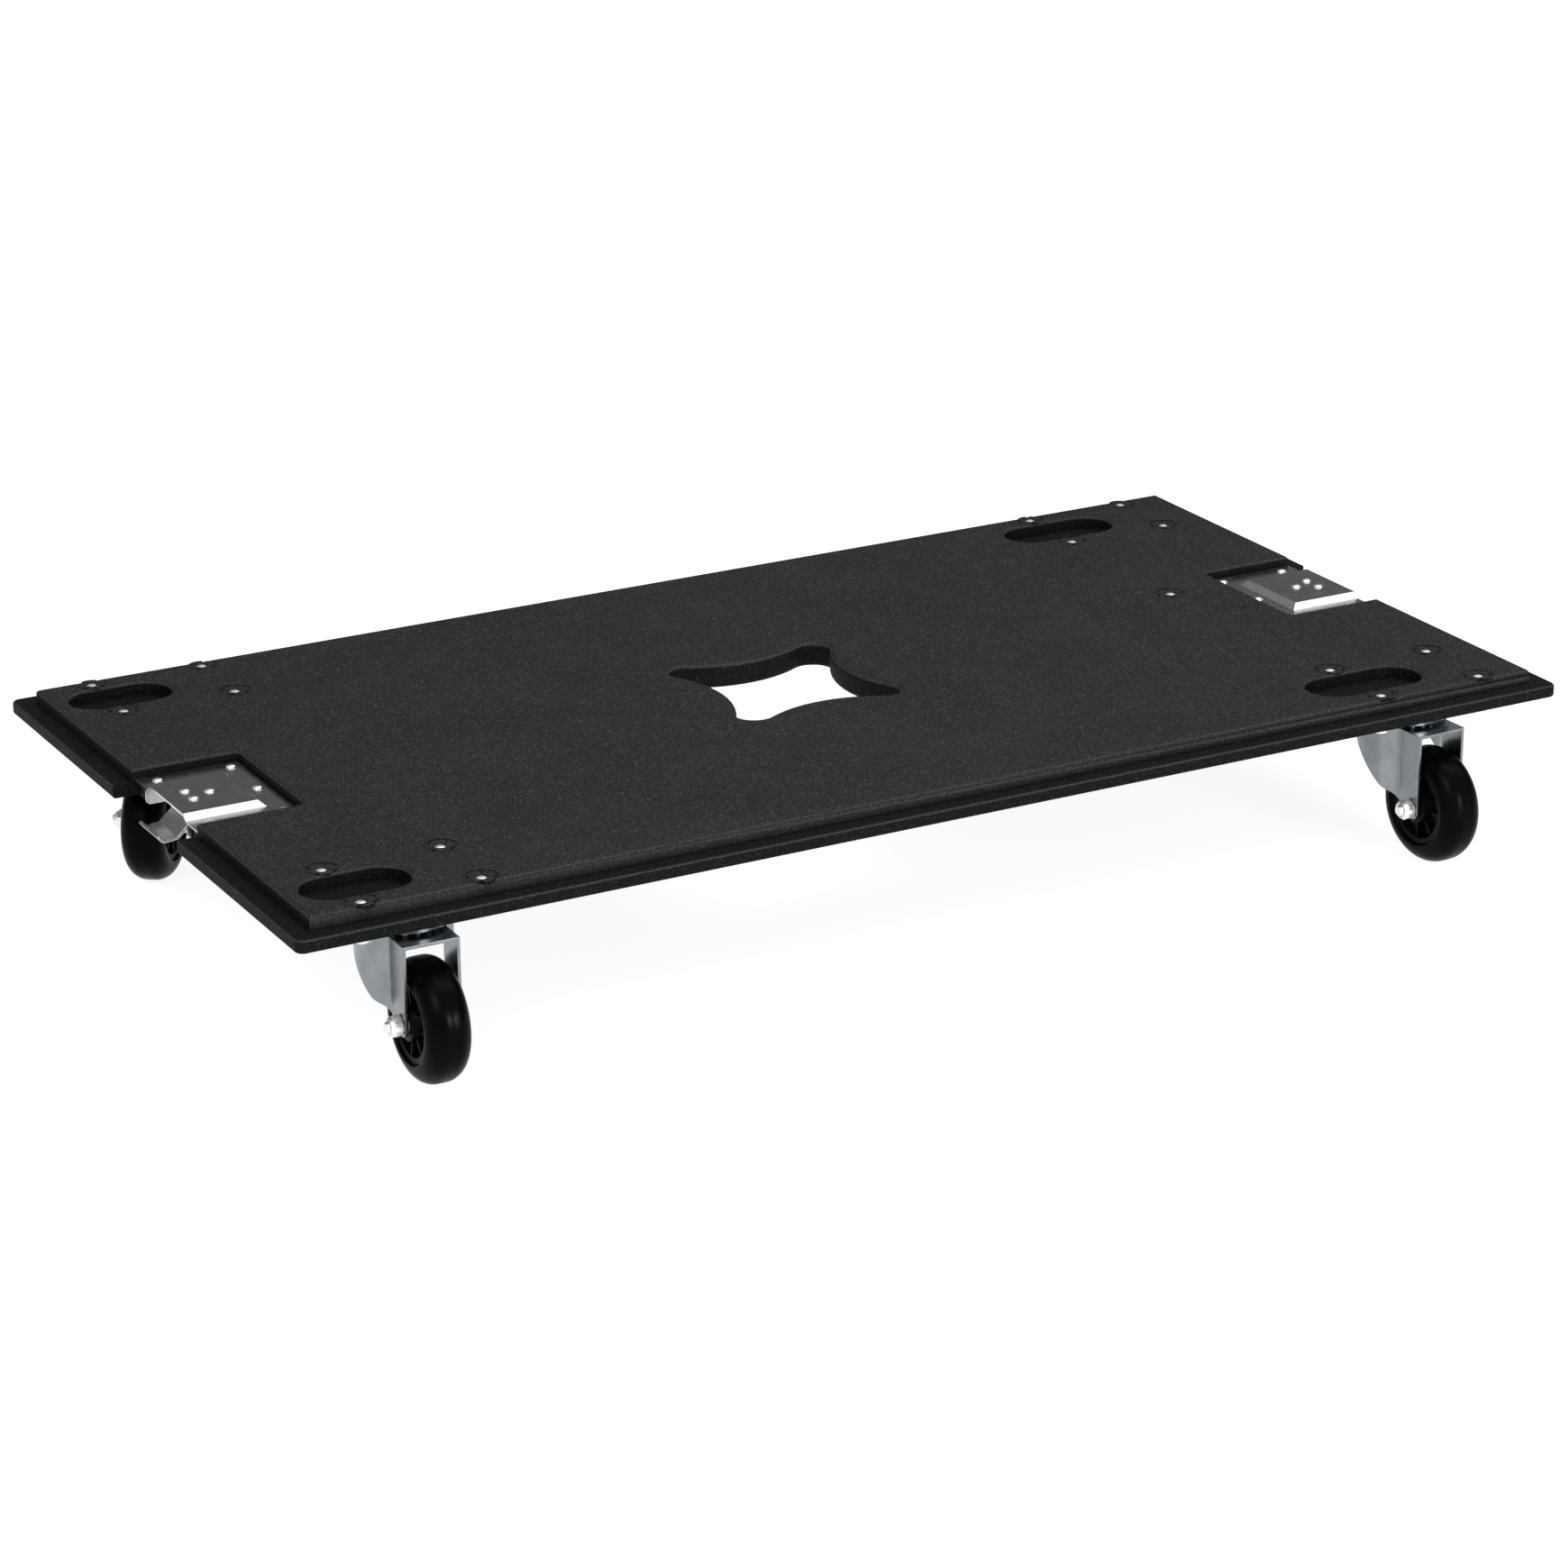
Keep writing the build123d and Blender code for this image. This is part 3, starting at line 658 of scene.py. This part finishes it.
HEAD_MM = 4.4
bolt_boxes = islands("caster_bolts")
one_low, one_high = bolt_boxes[0]
bolt_middle = middle_of(one_low, one_high)
bolt = bolt_mesh(one_low - bolt_middle, one_high - bolt_middle, "caster_bolt")
spots = [middle_of(*box) for box in bolt_boxes]
bolts = grow("caster_fixing_bolts", scatter, bolt, spots, Largest_turn=0.0, Seed=7, Material=bolt_zinc)
declare(bolts, "board", "bolt_zinc", "caster_bolts")

spare_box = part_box("spare_bolt")
spare_middle = middle_of(*spare_box)
spare_mesh = bolt_mesh(spare_box[0] - spare_middle, spare_box[1] - spare_middle, "spare")
spare = link("spare_thread_bolt", spare_mesh, bolt_zinc)
spare.data.transform(Matrix.Translation(spare_middle))
declare(spare, "board", "bolt_zinc", "spare_bolt")

washer_low, washer_high = islands("bolt_washers")[0]
outer, inner, edge = (washer_high.x - washer_low.x) / 2, 4.0 * MM, 0.25 * MM
washer_rings = [
    circle(inner + edge, washer_low.z), circle(outer - edge, washer_low.z),
    circle(outer, washer_low.z + edge), circle(outer, washer_high.z - edge),
    circle(outer - edge, washer_high.z), circle(inner + edge, washer_high.z),
    circle(inner, washer_high.z - edge), circle(inner, washer_low.z + edge),
]
washer_mesh = skin(washer_rings, "washer", ends="joined")
washers = grow("caster_bolt_washers", scatter, washer_mesh, spots, Largest_turn=6.28, Seed=9,
               Material=bolt_zinc)
declare(washers, "board", "bolt_zinc", "bolt_washers")

# %% [markdown]
# ## Rivets
# The keeper is held by domed rivets, set from above and closed flat below. They are the brightest
# spots on it, because a polished dome always finds a light to reflect.

# %% Rivets
def rivet_mesh(low, high, head_low, tail_high, tail, name):
    """A domed rivet between its model levels."""
    head, shank = (high.x - low.x) / 2, 2.0 * MM
    rise = high.z - head_low
    dome = [
        circle(head * math.cos(a), head_low + rise * (0.12 + 0.88 * math.sin(a)), 32)
        for a in (0.0, 0.25, 0.5, 0.8, 1.1, 1.35)
    ]
    rings = [
        circle(tail * 0.8, low.z, 32), circle(tail, low.z + 0.2 * MM, 32), circle(tail, tail_high, 32),
        circle(shank, tail_high, 32), circle(shank, head_low, 32), circle(head, head_low, 32),
    ]
    return skin(rings + dome, name)


DOME_MM, TAIL_MM = 1.8, 0.9
for end in ("left", "right"):
    for kind in ("flange", "hook"):
        node = f"{kind}_rivets_{end}"
        boxes = islands(node)
        low, high = boxes[0]
        centre = middle_of(low, high)
        tail_high = underside if kind == "flange" else low.z + TAIL_MM * MM
        rivet = rivet_mesh(low - centre, high - centre, high.z - DOME_MM * MM, tail_high, 3.0 * MM, node)
        places = [middle_of(*box) for box in boxes]
        made = grow(f"keeper_{kind}_rivets_{end}", scatter, rivet, places, Largest_turn=6.28, Seed=2,
                    Material=small_zinc)
        declare(made, "board", "rivet_zinc", node)

# %% [markdown]
# ## Bearing balls
# Two rings of balls carry the swivel, one over the fork's crown and one under it. Only glints of
# them show in the gaps, so each ball has just enough faces to shine round.

# %% Swivel balls
ball_boxes = islands("swivel_balls_front_left")
rings_of_balls = {}
for low, high in ball_boxes:
    size = round((high.z - low.z) / MM, 1)
    rings_of_balls.setdefault(size, []).append((low + high) / 2)
for corner in CORNERS:
    parts = []
    for size, centres in rings_of_balls.items():
        shape = bmesh.new()
        bmesh.ops.create_icosphere(shape, subdivisions=2, radius=size / 2 * MM)
        ball = bpy.data.meshes.new("ball")
        shape.to_mesh(ball)
        shape.free()
        ball.shade_smooth()
        pitch = (centres[0] - kingpins["front_left"]).xy.length
        balls = grow(f"balls_{corner}_{len(parts)}", ring, ball, [], Count=len(centres), Radius=pitch,
                     Material=ball_steel)
        balls.data.transform(Matrix.Translation((0, 0, centres[0].z)))
        parts.append(balls)
    joined = bmesh.new()
    for part in parts:
        joined.from_mesh(part.data)
        bpy.data.objects.remove(part)
    mesh = bpy.data.meshes.new(f"swivel_bearing_{corner}")
    joined.to_mesh(mesh)
    joined.free()
    mesh.transform(caster_place[corner])
    mesh.shade_smooth()
    declare(link(f"swivel_bearing_{corner}", mesh, ball_steel), f"swivel_{corner}", "ball_steel",
            f"swivel_balls_{corner}")

# %% [markdown]
# ## Tyre
# The tyre is moulded round, with a crowned tread and a fine flash line where the two halves of the
# mould met. Its section is drawn once from the model's sizes and turned about the axle.

# %% Tyre
tyre_low, tyre_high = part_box("tyre_front_left")
wheel_radius = (tyre_high.z - tyre_low.z) / 2
half_tread = 15.0 * MM
tread_round = 12.5 * MM
hub_radius, hub_half = 26.0 * MM, 13.0 * MM


def arc(centre_r, centre_z, radius, start, stop, count):
    """Points of an arc in the section, from one angle to another in degrees."""
    angles = [math.radians(start + (stop - start) * i / count) for i in range(count + 1)]
    return [(centre_r + radius * math.cos(a), centre_z + radius * math.sin(a)) for a in angles]


flash = 0.12 * MM
shoulder = wheel_radius - tread_round
crown = half_tread - tread_round
upper = arc(shoulder, crown, tread_round, 0, 90, 14)
section = [(wheel_radius, 0.0), (wheel_radius - flash, 0.35 * MM), (wheel_radius - flash, 1.2 * MM)]
section += [(r - flash if z < crown + 0.5 * MM else r - flash / 2, z) for r, z in upper]
section += [(shoulder - 0.8 * MM, half_tread - 0.25 * MM), (hub_radius + 0.2 * MM, hub_half + 0.1 * MM),
            (hub_radius, hub_half)]
section = [(r, -z) for r, z in reversed(section)][:-1] + section
tyre_mesh = skin([circle(r, z, 128) for r, z in section], "tyre", ends="joined", angle=50)
for corner in CORNERS:
    mesh = tyre_mesh.copy()
    mesh.transform(caster_place[corner] @ axle_place)
    tyre = link(f"wheel_tyre_{corner}", mesh, tyre_rubber)
    declare(tyre, f"wheel_{corner}", "tyre_rubber", f"tyre_{corner}")

# %% [markdown]
# ## Hub
# The nylon hub is dished on both sides to save material, and ribs stiffen it between the boss and
# the rim. The dish is turned, and the ring tree sets the ribs round it.

# %% Hub
bore, boss, dish = 6.05 * MM, 11.0 * MM, 5.0 * MM
boss_half, rim_inner = 15.5 * MM, 22.0 * MM
web = hub_half - dish
side = [
    (bore + 0.4 * MM, boss_half), (boss - 0.6 * MM, boss_half), (boss - 0.15 * MM, boss_half - 0.2 * MM),
    (boss, boss_half - 0.6 * MM), (boss + 1.0 * MM, web + 0.9 * MM), (boss + 1.4 * MM, web + 0.25 * MM),
    (boss + 2.2 * MM, web), (rim_inner - 2.8 * MM, web), (rim_inner - 1.9 * MM, web + 0.4 * MM),
    (rim_inner - 0.2 * MM, hub_half - 0.5 * MM), (rim_inner + 0.2 * MM, hub_half - 0.08 * MM),
    (rim_inner + 0.8 * MM, hub_half), (hub_radius - 0.5 * MM, hub_half),
    (hub_radius - 0.02 * MM, hub_half - 0.4 * MM),
]
hub_section = [(bore, boss_half - 0.4 * MM)] + side
hub_section += [(r, -z) for r, z in reversed(hub_section)]
hub_mesh = skin([circle(r, z, 96) for r, z in hub_section], "hub", ends="joined")

rib_half, rib_low, rib_high = 1.0 * MM, boss - 0.5 * MM, rim_inner - 0.6 * MM
rib_shape = bmesh.new()
for sign in (1, -1):
    corners = []
    for radius, drop in ((rib_low, 1.2 * MM), (rib_high, 0.4 * MM)):
        for y in (-rib_half, rib_half):
            for z in (web - 0.6 * MM, hub_half - drop):
                corners.append(rib_shape.verts.new((radius, y, sign * z)))
    for quad in ((0, 1, 3, 2), (4, 6, 7, 5), (0, 4, 5, 1), (2, 3, 7, 6), (1, 5, 7, 3), (0, 2, 6, 4)):
        rib_shape.faces.new([corners[i] for i in quad])
bmesh.ops.recalc_face_normals(rib_shape, faces=rib_shape.faces)
bmesh.ops.bevel(rib_shape, geom=rib_shape.edges[:], offset=0.35 * MM, segments=2, affect="EDGES")
rib_mesh = bpy.data.meshes.new("rib")
rib_shape.to_mesh(rib_mesh)
rib_shape.free()
smooth(rib_mesh, 40)
for corner in CORNERS:
    ribs = grow(f"hub_ribs_{corner}", ring, rib_mesh.copy(), [], Count=8, Radius=0.01 * MM,
                Material=hub_nylon)
    ribs.data.transform(caster_place[corner] @ axle_place)
    declare(ribs, f"wheel_{corner}", "hub_plastic")
    mesh = hub_mesh.copy()
    mesh.transform(caster_place[corner] @ axle_place)
    declare(link(f"wheel_centre_{corner}", mesh, hub_nylon), f"wheel_{corner}", "hub_plastic",
            f"wheel_hub_{corner}")

# %% [markdown]
# ## Axle bolt, lock nut and sleeve
# An M8 bolt passes through both legs, and a nylon-insert nut locks it. Two or three turns of
# thread stand out of the nut, and they show at the end, so they are cut as a real helix: the
# radius of each ring point rises and falls with its height and its angle.

# %% Axle fasteners
leg_face, bolt_end = 19.0 * MM, 29.0 * MM
thread_pitch, thread_depth = 1.25 * MM, 0.55 * MM
nut_across, nut_tall = 13.0 * MM, 8.0 * MM


def thread_ring(z, radius, count=48):
    """One ring of a screw thread about Z."""
    ring_points = []
    for angle in turns(count):
        phase = (z / thread_pitch - angle / (2 * math.pi)) % 1.0
        depth = thread_depth * abs(2 * phase - 1)
        r = radius - depth
        ring_points.append(Vector((r * math.cos(angle), r * math.sin(angle), z)))
    return ring_points


thread_start = leg_face + nut_tall * 0.5
steps = int((bolt_end - 1.0 * MM - thread_start) / (thread_pitch / 6))
rings_up = [
    circle(nut_across * 0.32, -leg_face - (HEAD_MM - 0.15) * MM, 48),
    circle(nut_across * 0.44, -leg_face - HEAD_MM * MM, 48),
    hexagon(nut_across, -leg_face - (HEAD_MM - 0.5) * MM, 0.5, 48), hexagon(nut_across, -leg_face, 0.0, 48),
    circle(4.0 * MM, -leg_face, 48), circle(4.0 * MM, thread_start - 0.2 * MM, 48),
]
rings_up += [thread_ring(thread_start + thread_pitch / 6 * i, 3.97 * MM) for i in range(steps)]
rings_up += [circle(3.3 * MM, bolt_end - 0.5 * MM, 48), circle(3.0 * MM, bolt_end, 48)]
axle_bolt_mesh = skin(rings_up, "axle_bolt", angle=45)

flat_top = leg_face + nut_tall * 0.75
nut_top = leg_face + nut_tall
nut_up = [
    circle(4.05 * MM, leg_face, 72), circle(nut_across * 0.46, leg_face, 72),
    hexagon(nut_across, leg_face + 0.35 * MM, 0.5), hexagon(nut_across, flat_top - 0.5 * MM, -0.5),
    circle(nut_across * 0.475, flat_top, 72), circle(nut_across * 0.45, flat_top + 0.4 * MM, 72),
    circle(nut_across * 0.44, nut_top - 0.7 * MM, 72), circle(nut_across * 0.41, nut_top - 0.15 * MM, 72),
    circle(nut_across * 0.38, nut_top, 72), circle(4.1 * MM, nut_top - 0.3 * MM, 72),
]
lock_nut_mesh = skin(nut_up, "lock_nut", ends="joined", angle=40)
for corner in CORNERS:
    place = caster_place[corner] @ axle_place
    for source, name, node in (
        (axle_bolt_mesh, "axle_hex_bolt", "axle_bolt"),
        (lock_nut_mesh, "axle_lock_nut", "axle_nut"),
    ):
        mesh = source.copy()
        mesh.transform(place)
        fastener = link(f"{name}_{corner}", mesh, bolt_zinc)
        declare(fastener, f"swivel_{corner}", "bolt_zinc", f"{node}_{corner}")
    sleeve = frame["nodes"][f"axle_sleeve_{corner}"]
    sleeve.data.materials.clear()
    sleeve.data.materials.append(bolt_zinc)

# %% [markdown]
# ## Floor and light
# The studio is as plain as it can be: a pale floor, a soft light high on the left, a large one
# overhead, a small low one in front that whitens edges and puts a streak on the tyres, and a world
# that is bright in front and above and darker behind. Black paint shows nothing but what it
# reflects, and flat zinc seen along its surface mirrors what is behind it, so the dark side of the
# world is what makes the sheet read grey while its folds and domes stay white.

# %% Floor
floor_material, floor_tree, floor_shader, floor_place = new_material("pale_studio_floor")
wash = add(floor_tree, "ShaderNodeTexNoise", {"Vector": floor_place, "Scale": 0.4, "Detail": 1.0})
tone = add(floor_tree, "ShaderNodeMix", {
    0: wash.outputs[0], 6: linear("#8c8c8c"), 7: linear("#909090"),
}, data_type="RGBA")
floor_tree.links.new(tone.outputs[2], floor_shader.inputs["Base Color"])
floor_shader.inputs["Roughness"].default_value = 0.9
floor_shader.inputs["Specular IOR Level"].default_value = 0.1
floor_shader.inputs["Emission Color"].default_value = (1.0, 1.0, 1.0, 1.0)
floor_shader.inputs["Emission Strength"].default_value = 0.9
floor_mesh = bpy.data.meshes.new("floor")
floor_mesh.from_pydata([(-14, -14, 0), (14, -14, 0), (14, 14, 0), (-14, 14, 0)], [], [(0, 1, 2, 3)])
floor_mesh.transform(Matrix.Translation((0, 0, -0.2 * MM)))
floor = link("floor", floor_mesh, floor_material)
print("floor:", floor_material.name)

# %% World and lights
world = bpy.data.worlds.new("studio")
bpy.context.scene.world = world
world.use_nodes = True
sky = world.node_tree
sky.nodes.clear()
direction = add(sky, "ShaderNodeTexCoord").outputs["Generated"]
toward = add(sky, "ShaderNodeVectorMath", {0: direction, 1: (-0.4, -0.62, 0.68)}, operation="DOT_PRODUCT")
glow = add(sky, "ShaderNodeMapRange", {
    "Value": toward.outputs["Value"], "From Min": -0.25, "From Max": 0.8, "To Min": 0.14, "To Max": 0.9,
})
backdrop = add(sky, "ShaderNodeBackground", {"Strength": glow.outputs[0]})
backdrop.inputs["Color"].default_value = (1.0, 1.0, 1.0, 1.0)
add(sky, "ShaderNodeOutputWorld", {"Surface": backdrop.outputs[0]})
bpy.context.scene.view_settings.view_transform = "Standard"


def soft_light(name, place, size, energy):
    """A square area light that looks at the board's centre."""
    data = bpy.data.lights.new(name, "AREA")
    data.size = size
    data.energy = energy
    lamp = bpy.data.objects.new(name, data)
    lamp.location = place
    lamp.rotation_mode = "QUATERNION"
    lamp.rotation_quaternion = (Vector((0, 0, 0.1)) - Vector(place)).to_track_quat("-Z", "Y")
    bpy.context.scene.collection.objects.link(lamp)


soft_light("key", (-2.2, -2.0, 2.6), 1.6, 48.0)
soft_light("top", (1.1, 0.2, 3.2), 3.2, 62.0)
soft_light("front", (0.9, -3.4, 0.9), 0.8, 60.0)
print("lights:", [lamp.name for lamp in bpy.data.lights])
